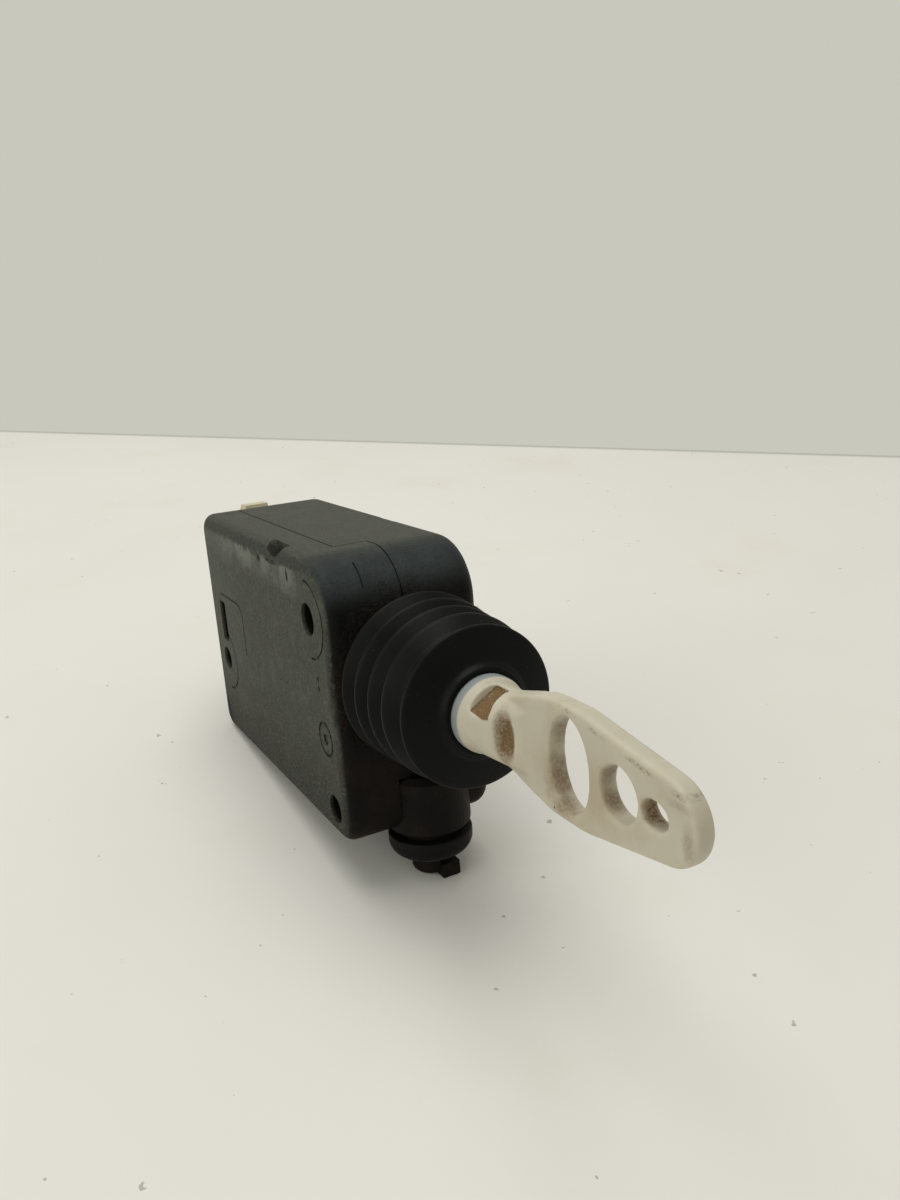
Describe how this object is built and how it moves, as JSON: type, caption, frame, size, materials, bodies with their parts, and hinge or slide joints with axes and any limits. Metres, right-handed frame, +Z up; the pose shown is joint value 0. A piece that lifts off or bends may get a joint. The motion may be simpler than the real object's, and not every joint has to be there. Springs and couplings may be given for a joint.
{
  "type": "door latch actuator",
  "caption": "Boxy geared door latch actuator with a rubber bellows boot, a flat windowed link end, a locating peg and a rear connector.",
  "frame": {"origin": "where the rod's line of travel meets the case's front face", "axes": "+X forwards along the rod out of the case, +Z up with the locating peg below, cover on the -Y side"},
  "size_m": [0.1771, 0.0339, 0.0688],
  "materials": {
    "case_plastic": "fine matte texture, dusty",
    "boot_rubber": "satin",
    "link_nylon": "satin, aged and soiled",
    "connector_plastic": "satin",
    "bearing_plastic": "smooth",
    "gear_plastic": "smooth",
    "steel": "machined",
    "plated_steel": "zinc plated",
    "tinned_brass": "tinned",
    "sintered_bronze": "oiled",
    "copper": "enamelled",
    "ferrite": "sintered",
    "carbon": "pressed carbon"
  },
  "bodies": {
    "case": {"main_case": "case_plastic", "cover": "case_plastic", "case_screws": "steel", "rod_guide_bush": "bearing_plastic", "boot": "boot_rubber", "peg_grommet": "boot_rubber", "connector_body": "connector_plastic", "connector_terminals": "tinned_brass", "supply_strips": "tinned_brass", "motor_can": "plated_steel", "motor_end_bell": "bearing_plastic", "motor_magnets": "ferrite", "motor_bearings": "sintered_bronze", "motor_brushes": "carbon", "brush_arms": "tinned_brass", "gear_axle": "steel", "travel_bumpers": "boot_rubber"},
    "rod": {"end_fitting": "link_nylon", "push_rod": "steel", "rack": "gear_plastic", "rod_pin": "steel"},
    "gear": {"drive_gear": "gear_plastic"},
    "armature": {"armature_core": "ferrite", "armature_windings": "copper", "commutator": "copper", "motor_shaft": "steel", "motor_pinion": "sintered_bronze"}
  },
  "joints": [
    {"name": "rod_slide", "type": "slide", "parent": "case", "child": "rod", "axis": [1, 0, 0], "range_m": [-0.009, 0.009], "deforming": ["boot"]},
    {"name": "gear_spin", "type": "hinge", "parent": "case", "child": "gear", "pos_m": [-0.0437, -0.0011, 0], "axis": [0, 0, 1], "range_deg": [-110, 110]},
    {"name": "motor_spin", "type": "hinge", "parent": "case", "child": "armature", "pos_m": [-0.0575, -0.0011, 0], "axis": [0, 0, 1], "range_deg": [-400, 400]}
  ],
  "couplings": [
    {"joint": "gear_spin", "follows": "rod_slide", "rad_per_m": -208.33},
    {"joint": "motor_spin", "follows": "rod_slide", "rad_per_m": 750}
  ]
}
